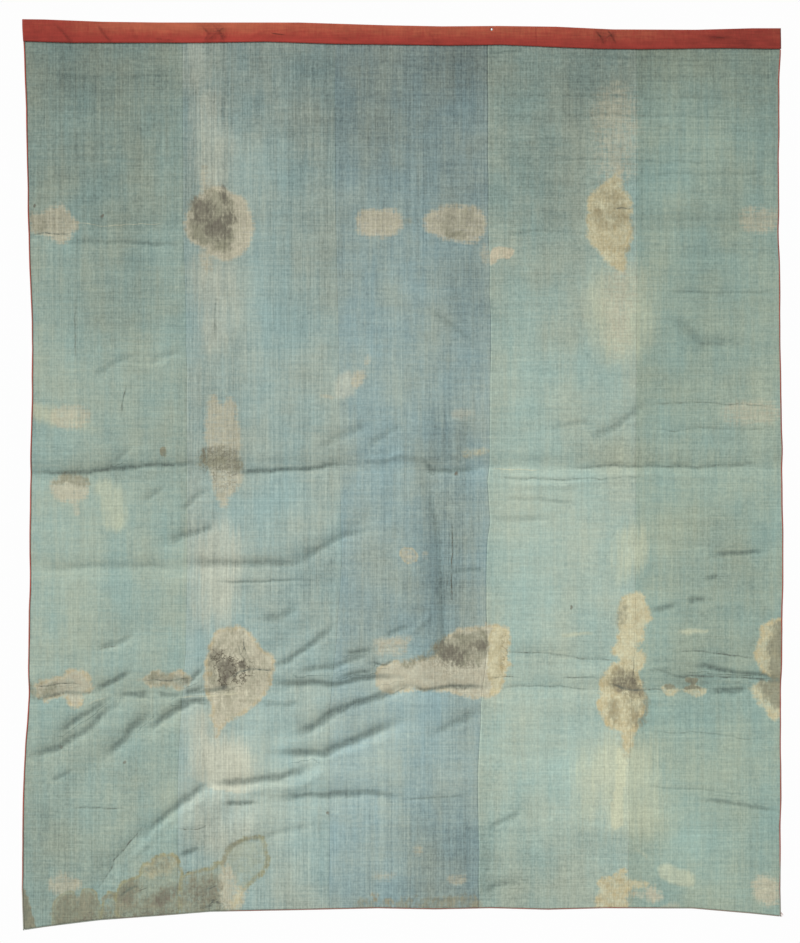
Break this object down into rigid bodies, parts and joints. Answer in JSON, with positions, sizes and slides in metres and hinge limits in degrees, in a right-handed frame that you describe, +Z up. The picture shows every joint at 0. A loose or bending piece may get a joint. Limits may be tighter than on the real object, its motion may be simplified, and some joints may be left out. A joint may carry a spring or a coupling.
{
  "type": "lined wall hanging",
  "caption": "Cloth wall hanging seen from its lining side: joined loom widths of faded blue-green cotton under a brick-red heading band, with narrow red edging.",
  "frame": {"origin": "middle of the top edge, where the hanging is held", "axes": "+Z up; the lining side, which the picture shows, faces -Y and the hidden face +Y; X across, with +X to the right of someone looking at the lining"},
  "size_m": [2.0011, 0.02, 2.3915],
  "materials": {
    "lining_1": "faded blue-green plain-weave cotton, stained",
    "lining_2": "faded blue-green plain-weave cotton, stained",
    "lining_3": "faded blue-green plain-weave cotton, stained",
    "lining_4": "paler green plain-weave cotton, stained",
    "lining_5": "paler green plain-weave cotton, stained",
    "heading": "brick-red cotton, sun-faded along its upper half",
    "edging": "brick-red cotton, worn",
    "face": "plain red ground cloth"
  },
  "bodies": {
    "root": {"lining_1": "lining_1", "lining_2": "lining_2", "lining_3": "lining_3", "lining_4": "lining_4", "lining_5": "lining_5", "heading": "heading", "edging_left": "edging", "edging_right": "edging", "edging_bottom": "edging", "face_cloth": "face"}
  },
  "joints": []
}
